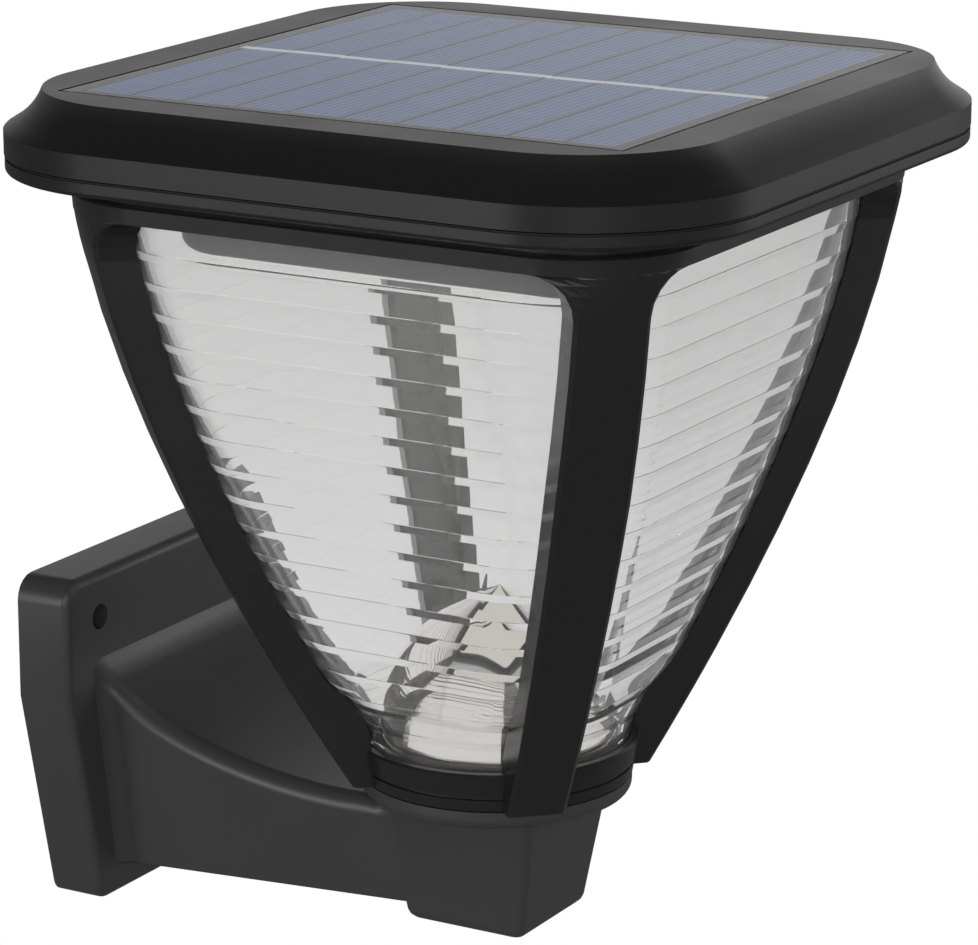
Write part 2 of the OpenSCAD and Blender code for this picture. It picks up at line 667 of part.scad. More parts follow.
// Switch on two feet astride the button
switch_bot = stem_top + 1.2;
switch_top = stem_top - button_travel - 1;
module switch_body() color("#3a3a3a") on_lamp() translate([button_at, 0, 0])
    difference() {
        union() {
            translate([-3.5, -3, -switch_bot]) cube([5, 6, switch_bot - switch_top]);
            for (y = [-6.6, 4.6]) translate([-3.5, y, -base_top]) cube([5, 2, base_top - switch_bot + 1]);
            translate([-3.5, -6.6, -switch_bot]) cube([5, 13.2, 1]);
        }
        translate([0, 0, -switch_bot - 1])
            cylinder(r = stem_r + running_fit / 2, h = 1 + switch_bot - stem_top + button_travel + 0.2);
    }

// Bracket: wall plate, arm, end block and socket ring in one moulding
plate_top_r = 4.5;
plate_foot_r = 3;
front_round = 1.8;
arm_end = 9 - reach;
arm_top_root = -plate_kink + 6.5;
arm_top_end = lamp_rise - socket_ring_bot - 1;
arm_low_root = -plate_below + 5.7;
arm_low_end = lamp_rise - block_bot + 3.2;
arm_side_draft = 0.14;
arm_run = reach - plate_t - 23;
root_round = 2.7;
function up_root(y) = max(0, min(1, 1 - (-y - plate_t) / arm_run));
function arm_top(y) = arm_top_end
    + (arm_top_root - arm_top_end) * (1 - pow(1 - pow(up_root(y), 1.8), 1 / 1.8));
function arm_share(y) = max(0, min(1, (-y - plate_t) / (reach - plate_t - 9)));
function arm_low(y) = arm_low_root + (arm_low_end - arm_low_root) * arm_share(y);
function arm_half(y) = arm_root + (block_foot - 0.2 - arm_root) * arm_share(y);
// Round where the arm's sides run into the plate
function root_flare(y) = -y >= plate_t + root_round ? 0
    : root_round - sqrt(max(0, pow(root_round, 2) - pow(root_round + y + plate_t, 2)));
function arm_section(y, inset, round) =
    let (z0 = arm_low(y) + inset, z1 = arm_top(y) - inset, w0 = arm_half(y) + root_flare(y) - inset,
        w1 = w0 + arm_side_draft * (z1 - z0), r = min(round, (z1 - z0) / 3))
    let (side = concat([[w0 - 0.6, z0], [w0, z0 + 0.6]],
        arc(w1 - r, z1 - r, r, -8, 90, 7)))
    concat([for (p = side) [p[0], y, p[1]]],
        [for (i = [len(side) - 1:-1:0]) [-side[i][0], y, side[i][1]]]);

// Levels along the arm, from its outer end to the plate, closer together in the round at its root
arm_levels = concat(
    [for (i = [0:16]) arm_end + (-plate_t - root_round - arm_end) * i / 16],
    [for (s = [0.7, 0.4, 0.15, 0.01]) -plate_t - root_round * s],
    [-plate_t + 1]);

core_end = 24 - reach;
core_levels = concat([for (i = [0:9]) core_end + (-plate_t - root_round - core_end) * i / 9],
    [-plate_t, 1]);

// End block under the socket, narrower downwards, with its edges rounded
block_spread = 3.6;
block_round = 1.9;
function block_half(d) = block_foot + block_spread * (block_bot - d) / block_h;
module end_block() {
    on_lamp() loft(concat(
        [square_ring(block_half(socket_ring_bot - 0.4), block_round, 0.4 - socket_ring_bot, 4)],
        [for (a = [0:30:90]) let (in = block_round * (1 - cos(a)), d = block_bot - block_round * (1 - sin(a)))
            square_ring(block_half(d) - in, block_round - in / 2, -d, 4)]));
}

// Outline of the plate in its own plane, moved in by inset, counterclockwise seen from the front
plate_lean = atan((plate_w - plate_foot_w) / 2 / (plate_below - plate_kink));
foot_x = plate_foot_w / 2 - plate_foot_r * (1 - sin(plate_lean)) / cos(plate_lean);
function plate_edge(inset) =
    let (x = plate_w / 2 - plate_top_r, z = plate_above - plate_top_r, kink = plate_w / 2 - inset,
        kink_z = -plate_kink - inset * tan(plate_lean / 2), foot_z = plate_foot_r - plate_below)
    concat(
        arc(foot_x, foot_z, plate_foot_r - inset, 270, 360 - plate_lean, 4),
        [[kink, kink_z]],
        arc(x, z, plate_top_r - inset, 0, 90, 5),
        arc(-x, z, plate_top_r - inset, 90, 180, 5),
        [[-kink, kink_z]],
        arc(-foot_x, foot_z, plate_foot_r - inset, 180 + plate_lean, 270, 4));

// Plate body with its front edge rounded
module plate_body() {
    loft(concat(
        [for (a = [0:22.5:90]) [for (p = plate_edge(front_round * (1 - sin(a))))
            [p[0], -plate_t + front_round * (1 - cos(a)), p[1]]]],
        [[for (p = plate_edge(0)) [p[0], 0, p[1]]]]));
}

// Hollow in the plate's back, leaving the screw bosses and stiffening ribs
plate_skin = 3;
module plate_pocket() {
    difference() {
        translate([0, 1, 0]) rotate([90, 0, 0]) linear_extrude(plate_t - plate_skin + 1)
            polygon(plate_edge(2.8));
        for (x = [-1, 1]) translate([x * hole_gap / 2, 1, 0]) rotate([90, 0, 0])
            cylinder(r = hole_d / 2 + 2.6, h = plate_t);
        for (z = [0.42, 0.72]) translate([-plate_w, -plate_t, -plate_below * z - 0.8])
            cube([2 * plate_w, plate_t + 1, 1.6]);
        for (x = [-1, 1]) translate([x * 4.5 - 0.8, -plate_t, -plate_below])
            cube([1.6, plate_t + 1, plate_below + plate_above]);
    }
}

module wall_bracket() color("#202020")
    difference() {
        union() {
            plate_body();
            loft([for (y = arm_levels) arm_section(y, 0, 3)]);
            end_block();
            on_lamp() rotate_extrude() polygon(concat(
                [[0, -socket_top], [collar_foot_r - 0.1, -socket_top]],
                arc(collar_foot_r - 2.1, -socket_ring_bot + 2, 2, 0, -50, 4),
                [[collar_foot_r - 1.8, -socket_ring_bot], [0, -socket_ring_bot]]));
        }
        plate_pocket();
        // core of the arm, open to the wall
        loft([for (y = core_levels) arm_section(y, arm_wall, 1.5)]);
        for (x = [-1, 1]) translate([x * hole_gap / 2, 1, 0]) rotate([90, 0, 0])
            cylinder(d = hole_d, h = plate_t + 2);
        on_lamp() {
            // round socket: a bore through the lip, a wider chamber below, two notches for the lugs
            translate([0, 0, -plug_bot - 1]) cylinder(r = neck_r + 0.06, h = 20);
            difference() {
                translate([0, 0, -plug_bot - 1]) cylinder(r = socket_r, h = plug_bot + 1 - lip_bot);
                for (a = [0, 180], b = [-lug_half_angle - 7, unlock_angle + lug_half_angle + 1])
                    rotate(a + b) difference() {
                        wedge(6, lip_bot - 1, lip_bot + gap + lug_t + 1);
                        translate([0, 0, -plug_bot]) cylinder(r = neck_r + 0.6, h = 30);
                    }
            }
            for (a = [0, 180]) rotate(a + unlock_angle - notch_half_angle) intersection() {
                wedge(2 * notch_half_angle, socket_top - 1, lip_bot + 0.5);
                translate([0, 0, -lip_bot - 1]) cylinder(r = lug_r + gap, h = 8);
            }
        }
    }

wall_bracket();
twist_plug();
plug_screws();
cage();
lens();
lens_seal();
reflector_cone();
roof_base();
roof_seal();
roof_cap();
roof_screws();
cage_screws();
panel_board();
panel_pad();
solar_cells();
cell_ribbon();
panel_cover();
lamp_tray();
tray_screws();
led_board();
led_chips();
led_cover();
battery_cell();
battery_cradle();
battery_contacts();
control_board();
board_parts();
switch_body();
button_cap();
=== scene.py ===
import json
import math

import bmesh
import bpy
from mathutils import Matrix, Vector

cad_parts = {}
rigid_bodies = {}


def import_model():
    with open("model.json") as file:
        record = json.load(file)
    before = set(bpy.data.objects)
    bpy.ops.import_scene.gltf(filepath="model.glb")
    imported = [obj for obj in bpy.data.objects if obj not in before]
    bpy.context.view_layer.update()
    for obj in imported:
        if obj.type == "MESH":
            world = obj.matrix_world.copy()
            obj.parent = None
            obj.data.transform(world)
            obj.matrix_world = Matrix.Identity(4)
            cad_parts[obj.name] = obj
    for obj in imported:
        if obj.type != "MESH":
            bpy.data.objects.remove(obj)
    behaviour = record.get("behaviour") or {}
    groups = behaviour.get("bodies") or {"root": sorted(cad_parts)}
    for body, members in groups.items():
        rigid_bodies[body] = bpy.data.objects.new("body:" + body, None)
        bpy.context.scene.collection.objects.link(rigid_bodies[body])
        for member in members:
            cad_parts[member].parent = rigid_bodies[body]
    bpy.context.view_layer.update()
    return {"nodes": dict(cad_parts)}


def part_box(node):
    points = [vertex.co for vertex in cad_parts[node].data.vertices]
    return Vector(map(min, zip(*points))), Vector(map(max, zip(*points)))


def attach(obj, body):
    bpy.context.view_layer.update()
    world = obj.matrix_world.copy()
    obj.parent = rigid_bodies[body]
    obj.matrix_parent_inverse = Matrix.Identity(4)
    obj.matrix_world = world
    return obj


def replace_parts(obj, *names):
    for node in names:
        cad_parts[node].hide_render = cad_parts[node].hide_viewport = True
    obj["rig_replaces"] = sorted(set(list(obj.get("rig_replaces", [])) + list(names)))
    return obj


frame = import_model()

bl_info = {
    "name": "Solar wall light",
    "version": (1, 0, 0),
    "blender": (4, 5, 0),
    "location": "View3D > Sidebar > Lantern",
    "description": "Dresses the solar wall light: ribbed lens, cage, roof, panel, bracket and finishes",
    "category": "Object",
}

MM = 0.001
LANTERN = "lantern"

# Sockets that share a name with others on their node, and so are taken by number
FIRST, SECOND = 0, 1
MIX_SHARE, MIX_VALUE_A, MIX_VALUE_B, MIX_COLOUR_A, MIX_COLOUR_B = 0, 2, 3, 6, 7
MIXED_VALUE, MIXED_COLOUR = 0, 2
SHADER_SHARE, SHADER_A, SHADER_B = 0, 1, 2


# Helpers

def linear(code):
    """sRGB hex to the linear colour that a shader takes."""
    values = [int(code[i:i + 2], 16) / 255 for i in (1, 3, 5)]
    return tuple(v / 12.92 if v <= 0.04045 else ((v + 0.055) / 1.055) ** 2.4 for v in values) + (1.0,)


def add_node(tree, kind, settings=None, inputs=None):
    """Adds a node with its settings, and sets or links its inputs."""
    node = tree.nodes.new(kind)
    for name, value in (settings or {}).items():
        setattr(node, name, value)
    for name, value in (inputs or {}).items():
        socket = node.inputs[name]
        if isinstance(value, bpy.types.NodeSocket):
            tree.links.new(value, socket)
        else:
            socket.default_value = value
    return node


def new_material(name):
    """A material with an empty node tree."""
    material = bpy.data.materials.new(name)
    material.use_nodes = True
    tree = material.node_tree
    tree.nodes.clear()
    return material, tree


def finish_material(tree, shader):
    """Links the shader to the material's output."""
    add_node(tree, "ShaderNodeOutputMaterial", inputs={"Surface": shader})


def set_material(obj, material):
    """The object's only material."""
    obj.data.materials.clear()
    obj.data.materials.append(material)


def moulded_plastic(name, colour, grain_mm, depth_mm, roughness, ior=1.5):
    """Injection-moulded plastic: a spark-eroded grain in the tool leaves fine bumps and an uneven sheen.
    The grain is drawn coarser than the tool's own, because that would be too fine to show."""
    cloud_mm, lighter, glossier, duller = 24, 1.1, 0.02, 0.03
    material, tree = new_material(name)
    place = add_node(tree, "ShaderNodeTexCoord")
    grain = add_node(tree, "ShaderNodeTexNoise", inputs={
        "Vector": place.outputs["Object"], "Scale": 1 / (grain_mm * MM), "Detail": 3.0, "Roughness": 0.6})
    cloud = add_node(tree, "ShaderNodeTexNoise", inputs={
        "Vector": place.outputs["Object"], "Scale": 1 / (cloud_mm * MM), "Detail": 2.0})
    sheen = add_node(tree, "ShaderNodeMapRange", inputs={
        "Value": cloud.outputs["Fac"], "From Min": 0.3, "From Max": 0.7,
        "To Min": roughness - glossier, "To Max": roughness + duller})
    tone = add_node(tree, "ShaderNodeMix", {"data_type": "RGBA"}, {
        MIX_SHARE: cloud.outputs["Fac"], MIX_COLOUR_A: linear(colour),
        MIX_COLOUR_B: tuple(c * lighter for c in linear(colour)[:3]) + (1.0,)})
    bump = add_node(tree, "ShaderNodeBump", inputs={
        "Height": grain.outputs["Fac"], "Strength": 0.6, "Distance": depth_mm * MM})
    skin = add_node(tree, "ShaderNodeBsdfPrincipled", inputs={
        "Base Color": tone.outputs[MIXED_COLOUR], "Roughness": sheen.outputs["Result"],
        "Normal": bump.outputs["Normal"], "IOR": ior})
    finish_material(tree, skin.outputs["BSDF"])
    return material


def plain_finish(name, colour, roughness, metallic=0.0, grain_mm=0.4, depth_mm=0.01):
    """Small parts: their own colour and gloss, with a faint unevenness."""
    material, tree = new_material(name)
    place = add_node(tree, "ShaderNodeTexCoord")
    grain = add_node(tree, "ShaderNodeTexNoise", inputs={
        "Vector": place.outputs["Object"], "Scale": 1 / (grain_mm * MM), "Detail": 2.0})
    bump = add_node(tree, "ShaderNodeBump", inputs={
        "Height": grain.outputs["Fac"], "Strength": 0.4, "Distance": depth_mm * MM})
    skin = add_node(tree, "ShaderNodeBsdfPrincipled", inputs={
        "Base Color": linear(colour), "Roughness": roughness, "Metallic": metallic,
        "Normal": bump.outputs["Normal"], "IOR": 1.5})
    finish_material(tree, skin.outputs["BSDF"])
    return material


def backdrop_share(tree):
    """1 for what the camera sees directly or through clear plastic, where the backdrop is plain white.
    A ray's depths are whole numbers, so that a half tells none from one."""
    half = 0.5
    path = add_node(tree, "ShaderNodeLightPath")
    straight = add_node(tree, "ShaderNodeMath", {"operation": "LESS_THAN"}, {
        FIRST: path.outputs["Diffuse Depth"], SECOND: half})
    passed = add_node(tree, "ShaderNodeMath", {"operation": "GREATER_THAN"}, {
        FIRST: path.outputs["Transmission Depth"], SECOND: half})
    through = add_node(tree, "ShaderNodeMath", {"operation": "MULTIPLY"}, {
        FIRST: passed.outputs["Value"], SECOND: straight.outputs["Value"]})
    share = add_node(tree, "ShaderNodeMath", {"operation": "MAXIMUM"}, {
        FIRST: path.outputs["Is Camera Ray"], SECOND: through.outputs["Value"]})
    return share.outputs["Value"]


def backdrop_strength(tree):
    """White where the camera sees it directly, and a little less behind clear plastic."""
    behind_lens = 0.78
    path = add_node(tree, "ShaderNodeLightPath")
    white = add_node(tree, "ShaderNodeMapRange", inputs={
        "Value": path.outputs["Is Camera Ray"], "To Min": behind_lens, "To Max": 1.0})
    return white.outputs["Result"]


def select_only(obj):
    """Operators then act on this object alone."""
    bpy.ops.object.select_all(action="DESELECT")
    obj.select_set(True)
    bpy.context.view_layer.objects.active = obj


def smooth(obj, degrees):
    """Smooth shading that keeps every edge sharper than an angle."""
    select_only(obj)
    bpy.ops.object.shade_smooth_by_angle(angle=math.radians(degrees))


# Levels are depths below the roof's top face, in mm, as in the part's source
ROOF_TOP = Vector((0, -0.084, 0.106))
RING_TOP, COLLAR_TOP, FLOOR_TOP, FOOT = 17.8, 122.0, 126.2, 129.2
RIB_FIRST, RIB_PITCH, RIB_COUNT, LIP_SHARE = 23.4, 5.56, 17, 0.72
CELL_COUNT, CELL_PITCH = 10, 10.62
# Legs: the outer face's distance from the axis at the top, how far it comes in and how late
LEG_TOP, LEG_IN, LEG_CURVE = 74.75, 46.6, 1.48
# Legs: width, what they lose in width, and the share of their run where that starts
LEG_WIDTH, LEG_NARROWING, NARROWS_FROM = 13.2, 2.4, 0.4
# Lens: how far it stands back from a leg's outer face behind the leg and beside it, and its crown
LENS_BEHIND, LENS_BESIDE, LENS_CROWN = 6.9, 6.3, 0.9
# Lens: radius in the collar, and the height over which it turns from square to round
LENS_FOOT, ROUND_OFF = 24.6, 14
# Least half length of a rounded square's straight side, which keeps its corners apart
STRAIGHT = 0.05
# Steps round a rounded square's corner
CORNER_STEPS = 20


def leg_run(depth):
    """Share of a leg's height at a depth, from 0 under the ring to 1 at the foot."""
    return min(1.0, max(0.0, (depth - RING_TOP) / (FOOT - RING_TOP)))


def leg_reach(depth):
    """Distance from the lantern's axis to a leg's outer face."""
    return LEG_TOP - LEG_IN * leg_run(depth) ** LEG_CURVE


def lens_size(depth):
    """Half width and corner radius of the lens, which runs from a rounded square into a circle."""
    share = min(1.0, max(0.0, (depth - COLLAR_TOP + ROUND_OFF) / ROUND_OFF))
    width = LEG_WIDTH - LEG_NARROWING * max(0.0, (leg_run(depth) - NARROWS_FROM) / (1 - NARROWS_FROM))
    reach = leg_reach(depth)
    diagonal = (reach - LENS_BEHIND) * (1 - share) + LENS_FOOT * share
    beside = (reach - LENS_BESIDE + width / 2) / math.sqrt(2) + LENS_CROWN
    half = beside * (1 - share) + LENS_FOOT * share
    corner = (half * math.sqrt(2) - diagonal) / (math.sqrt(2) - 1)
    return half, min(half - STRAIGHT, corner)


# Pieces

def add_level(obj, number, half, corner, depth):
    """One level of a lofted shell: a square with its corners rounded, kept as an edge loop with a number."""
    bpy.ops.mesh.primitive_plane_add(size=2 * half * MM, location=ROOF_TOP - Vector((0, 0, depth * MM)))
    bpy.ops.mesh.bevel(offset=corner * MM, segments=CORNER_STEPS, affect="VERTICES")
    mesh = bmesh.from_edit_mesh(obj.data)
    level = mesh.verts.layers.int["level"]
    for vertex in mesh.verts:
        if vertex.select:
            vertex[level] = number
    bmesh.update_edit_mesh(obj.data)
    bpy.ops.mesh.delete(type="ONLY_FACE")


def select_levels(obj, *numbers):
    """Selects the edge loops that have these numbers, and nothing else."""
    mesh = bmesh.from_edit_mesh(obj.data)
    level = mesh.verts.layers.int["level"]
    for vertex in mesh.verts:
        vertex.select_set(vertex[level] in numbers)
    mesh.select_flush_mode()
    bmesh.update_edit_mesh(obj.data)


def empty_mesh(name):
    """New object with nothing in its mesh, left in edit mode, to which primitives are added."""
    bpy.ops.object.select_all(action="DESELECT")
    bpy.ops.mesh.primitive_plane_add(size=MM)
    obj = bpy.context.active_object
    obj.name = name
    bpy.ops.object.mode_set(mode="EDIT")
    bpy.ops.mesh.delete(type="VERT")
    return obj


def loft_levels(name, levels, closed=True):
    """Shell through a list of levels, each a half width, a corner radius and a depth.
    A closed one joins its last level to its first, and an open one gets a flat face at both ends."""
    shell = empty_mesh(name)
    bmesh.from_edit_mesh(shell.data).verts.layers.int.new("level")
    last = len(levels)
    for number, (half, corner, depth) in enumerate(levels, 1):
        add_level(shell, number, half, corner, depth)
    for number in range(1, last):
        select_levels(shell, number, number + 1)
        bpy.ops.mesh.bridge_edge_loops()
    if closed:
        select_levels(shell, last, 1)
        bpy.ops.mesh.bridge_edge_loops()
    else:
        for number in (1, last):
            select_levels(shell, number)
            bpy.ops.mesh.edge_face_add()
    bpy.ops.mesh.select_all(action="SELECT")
    bpy.ops.mesh.normals_make_consistent(inside=False)
    bpy.ops.object.mode_set(mode="OBJECT")
    shell.data.attributes.remove(shell.data.attributes["level"])
    return shell


def merged_copy(node, name, degrees):
    """Copy of a solid with its loose triangles merged into one skin and its round faces smooth."""
    select_only(frame["nodes"][node])
    bpy.ops.object.duplicate()
    copy = bpy.context.active_object
    copy.name = name
    bpy.ops.object.mode_set(mode="EDIT")
    bpy.ops.mesh.select_all(action="SELECT")
    bpy.ops.mesh.remove_doubles(threshold=0.002 * MM)
    bpy.ops.mesh.normals_make_consistent(inside=False)
    bpy.ops.object.mode_set(mode="OBJECT")
    smooth(copy, degrees)
    return copy


def stand_for(piece, node, body):
    """The piece moves with a body of the frame, hides the solid that it stands for and names its finish."""
    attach(piece, body)
    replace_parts(piece, node)


def mould_roof_cap(sizes):
    """Roof cap: flat rim, hollow flank that meets the band at a crisp edge, and the panel's recess."""
    centre, rim, outer, height = 38.8, 25.5, 32.3, 11.6 - sizes.seam / MM
    hollow, tilt, shell, crisp = 12, math.radians(68), 2.4, 0.3
    band, band_inside, flank_inside, bend_out, bend_in = 7.08, 8.8, 4.6, 2, 1.6
    # degrees round the hollow's centre, from the rim down to the band
    turn = range(202, 239, 4)
    flank = [(rim + hollow * (math.sin(tilt) + math.cos(math.radians(a))),
              -hollow * (math.cos(tilt) + math.sin(math.radians(a)))) for a in turn]
    section = flank + [(outer - crisp, band - crisp), (outer, band), (outer, height), (outer - shell, height),
                       (outer - shell, band_inside), (rim + bend_out, flank_inside), (rim - bend_in, shell)]
    levels = [(centre + r, r, depth) for r, depth in section]
    # the panel's recess: a square tray that hangs in the cap, with a square hole for the leads
    recess, recess_wall, recess_depth, recess_floor, lead_hole = 55.2, 1.6, 2.4, 4.2, 9
    inside_corner, outside_corner = 0.3, 0.4
    levels += [(recess + recess_wall, outside_corner, recess_depth),
               (recess + recess_wall, outside_corner, recess_floor), (lead_hole, outside_corner, recess_floor),
               (lead_hole, outside_corner, recess_depth), (recess, inside_corner, recess_depth),
               (recess, inside_corner, 0.0)]
    cap = loft_levels("roof_cap_shell", levels)
    smooth(cap, degrees=20)
    stand_for(cap, "roof_cap", LANTERN)


def mould_tray(sizes):
    """Tray under the roof: a shallow box with round corners and a rounded lower edge."""
    half, corner, lower = sizes.tray_half / MM, 10.0, sizes.tray_round / MM
    top, floor, foot, wall = 19.2, 24.6, 29.5, 2
    mouth, mouth_corner = 37, 5
    levels = [(half, corner, top)]
    for a in (math.radians(degrees) for degrees in range(0, 91, 15)):
        inset = lower * (1 - math.cos(a))
        levels.append((half - inset, corner - inset, foot - lower * (1 - math.sin(a))))
    levels += [(mouth, mouth_corner, foot), (mouth, mouth_corner, floor),
               (half - wall, corner - wall, floor), (half - wall, corner - wall, top)]
    tray = loft_levels("lamp_tray_moulding", levels)
    smooth(tray, degrees=20)
    stand_for(tray, "lamp_tray", LANTERN)


def mould_led_cover():
    """Opal cover under the diodes: a shallow lid with its lower edge rounded, held in the tray's mouth."""
    # half width and corner radius of the hollow, of what stands in the mouth and of the lip under it
    hollow, plug, lip = (35.2, 4), (36.7, 5), (39.4, 7)
    top, lip_top, hollow_foot, foot, edge = 27.6, 29.56, 29.7, 30.2, 0.3
    levels = [(*hollow, hollow_foot), (*hollow, top), (*plug, top), (*plug, lip_top), (*lip, lip_top),
              (*lip, foot - edge), (lip[0] - edge, lip[1] - edge, foot)]
    cover = loft_levels("led_cover_moulding", levels, closed=False)
    smooth(cover, degrees=20)
    stand_for(cover, "led_cover", LANTERN)


def spin_reflector():
    """Plated bell on the lamp's floor: flat near its tip, and steeper down to an upright skirt."""
    tip, foot, radius, wall, tip_radius = 95.4, FLOOR_TOP, 21.0, 1.2, 0.2
    # how soon the bell is wide, its rings, and how much they crowd towards the tip
    fullness, rings, crowding = 3.2, 30, 1.6
    # a corner radius just under the half width makes a square round
    roundness = 0.999
    steps = [(i / rings) ** crowding for i in range(rings + 1)]
    outer = [(max(tip_radius, radius * (1 - (1 - t) ** fullness)), tip + (foot - tip) * t) for t in steps]
    inner = [(r - wall, depth) for r, depth in outer if r > wall + tip_radius]
    levels = [(r, r * roundness, depth) for r, depth in outer + inner[::-1]]
    bell = loft_levels("reflector_bell", levels, closed=False)
    smooth(bell, degrees=50)
    stand_for(bell, "reflector_cone", LANTERN)


def mould_lens(sizes):
    """Clear lens: ribbed outside and smooth inside, with a flange above and a spigot below."""
    rise, bead, lip_half, wall, rings, step = sizes.rib_rise / MM, 0.03, 0.09, 2.2, 24, 0.02
    flange, flange_side, flange_top, flange_foot = lens_size(RING_TOP)[0] + 2.2, 31.6, 18.8, 20.16
    skin_top, skin_foot, shoulder, spigot, spigot_inside = 20.2, 120.6, 123.2, 1.0, 2.8
    levels = [(flange, flange - flange_side, flange_top), (flange, flange - flange_side, flange_foot)]
    # depths, each with how far the face stands out from the lens's plain outline
    face = [(skin_top, 0.0), (RIB_FIRST, 0.0)]
    for i in range(RIB_COUNT):
        top = RIB_FIRST + i * RIB_PITCH
        lip = top + LIP_SHARE * RIB_PITCH
        face += [(top + LIP_SHARE / 2 * RIB_PITCH, rise / 2), (lip - lip_half, rise), (lip, rise + bead),
                 (lip + lip_half, rise), (top + RIB_PITCH, 0.0)]
    face += [(skin_foot, 0.0), (COLLAR_TOP, 0.0), (shoulder - step, 0.0), (shoulder, -spigot),
             (FLOOR_TOP, -spigot), (FLOOR_TOP, -spigot_inside), (shoulder, -spigot_inside)]
    face += [(flange_top + (COLLAR_TOP - flange_top) * i / rings, -wall) for i in range(rings, -1, -1)]
    for depth, out in face:
        half, corner = lens_size(depth)
        levels.append((half + out, min(corner + out, half + out - STRAIGHT), depth))
    lens = loft_levels("ribbed_lens", levels)
    smooth(lens, degrees=6)
    stand_for(lens, "lens", LANTERN)


def pour_epoxy(sizes):
    """Level pour of clear epoxy round the cells: a slab with its upper edge rounded by surface tension."""
    sunk, proud, rounding = 0.02 * MM, 0.23 * MM, 0.15 * MM
    low, high = (Vector(corner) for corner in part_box("panel_cover"))
    low += Vector((sizes.pour_gap, sizes.pour_gap, -sunk))
    high += Vector((-sizes.pour_gap, -sizes.pour_gap, proud))
    bpy.ops.object.select_all(action="DESELECT")
    bpy.ops.mesh.primitive_cube_add(size=1, location=(low + high) / 2)
    pour = bpy.context.active_object
    pour.name = "epoxy_pour"
    pour.scale = high - low
    bpy.ops.object.transform_apply(location=True, rotation=True, scale=True)
    edge = pour.modifiers.new("edge", "BEVEL")
    edge.width = rounding
    edge.segments = 2
    bpy.ops.object.modifier_apply(modifier="edge")
    stand_for(pour, "panel_cover", LANTERN)


def lay_ribbon():
    """Tinned ribbon along the strips: ten lengths end to end, every second one a little to one side."""
    low, high = (Vector(corner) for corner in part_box("cell_ribbon"))
    width, gap, jog, edge = 2.2 * MM, 0.9 * MM, 0.35 * MM, 0.03 * MM
    pitch = (high.y - low.y + gap) / CELL_COUNT
    ribbon = empty_mesh("ribbon_foil")
    for i in range(CELL_COUNT):
        middle = (-jog * (i % 2), low.y - gap / 2 + pitch * (i + 0.5), (low.z + high.z) / 2)
        bpy.ops.mesh.primitive_cube_add(size=1, location=middle, scale=(width, pitch, high.z - low.z))
        bpy.ops.mesh.bevel(offset=edge, segments=1)
    bpy.ops.object.mode_set(mode="OBJECT")
    stand_for(ribbon, "cell_ribbon", LANTERN)


def dress_bracket(sizes):
    """Bracket with its round faces smooth and the arm's far flank drawn out to its root on the plate."""
    arm = merged_copy("wall_bracket", "bracket_moulding", degrees=30)
    # the flank, in mm: across from the arm's middle, back to just off the plate, and up from the block's foot
    middle, side, front, plate, foot, top = 5, 27, -76, -10.9, -52, -7
    # lengths over which the flank swings out towards the plate, and upwards
    swing, climb = 50, 30
    for vertex in arm.data.vertices:
        x, y, z = (c / MM for c in vertex.co)
        if middle < x < side and front < y < plate and foot < z < top:
            along = min(1.0, (y - front) / swing)
            up = min(1.0, (z - foot) / climb)
            vertex.co.x += sizes.flank_out * along * along * (3 - 2 * along) * up
    select_only(arm)
    weighted = arm.modifiers.new("weighted", "WEIGHTED_NORMAL")
    weighted.keep_sharp = True
    weighted.weight = 80
    bpy.ops.object.modifier_apply(modifier="weighted")
    stand_for(arm, "wall_bracket", "bracket")


# Finishes

def clear_lens_plastic():
    """Clear polystyrene lens, moulded with ribs: it bends what is behind it and carries a slight milky haze."""
    ripple_mm, ripple_depth_mm = 9, 0.05
    material, tree = new_material("clear_polystyrene")
    place = add_node(tree, "ShaderNodeTexCoord")
    ripple = add_node(tree, "ShaderNodeTexNoise", inputs={
        "Vector": place.outputs["Object"], "Scale": 1 / (ripple_mm * MM), "Detail": 1.0})
    bump = add_node(tree, "ShaderNodeBump", inputs={
        "Height": ripple.outputs["Fac"], "Strength": 0.3, "Distance": ripple_depth_mm * MM})
    # a little milkier towards the roof
    axes = add_node(tree, "ShaderNodeSeparateXYZ", inputs={"Vector": place.outputs["Object"]})
    clarity = add_node(tree, "ShaderNodeMapRange", inputs={
        "Value": axes.outputs["Z"], "From Min": 0.01, "From Max": 0.08, "To Min": 0.95, "To Max": 0.88})
    skin = add_node(tree, "ShaderNodeBsdfPrincipled", inputs={
        "Base Color": linear("#ffffff"), "Roughness": 0.0, "IOR": 1.5,
        "Transmission Weight": clarity.outputs["Result"], "Normal": bump.outputs["Normal"]})
    finish_material(tree, skin.outputs["BSDF"])
    return material


